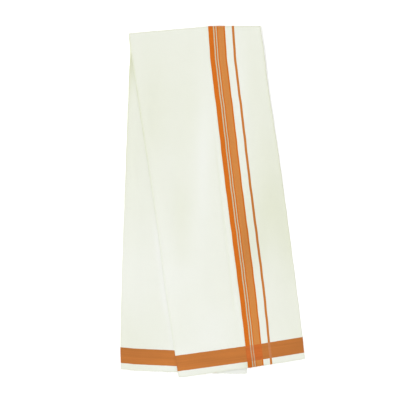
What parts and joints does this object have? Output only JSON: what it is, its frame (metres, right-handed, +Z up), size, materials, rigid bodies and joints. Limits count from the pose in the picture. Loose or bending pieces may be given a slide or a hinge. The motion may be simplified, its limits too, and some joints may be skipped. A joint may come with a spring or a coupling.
{
  "type": "folded dhoti cloth",
  "caption": "White cotton dhoti with a woven orange border and cross bands, folded into a fanned strip and lying flat.",
  "frame": {"origin": "centre of the folded cloth's outline, on the surface that it lies on", "axes": "+X across the folded strip to the viewer's right, +Y along it to the fold across the strip, +Z up from the surface"},
  "size_m": [0.5267, 1.002, 0.0105],
  "materials": {
    "white_cotton": "plain woven cotton, matt",
    "border_cotton": "woven cotton border, slight sheen"
  },
  "bodies": {
    "root": {"border_panel": "border_cotton", "front_panel": "white_cotton", "rear_panel": "white_cotton", "hidden_layers": "white_cotton"}
  },
  "joints": []
}
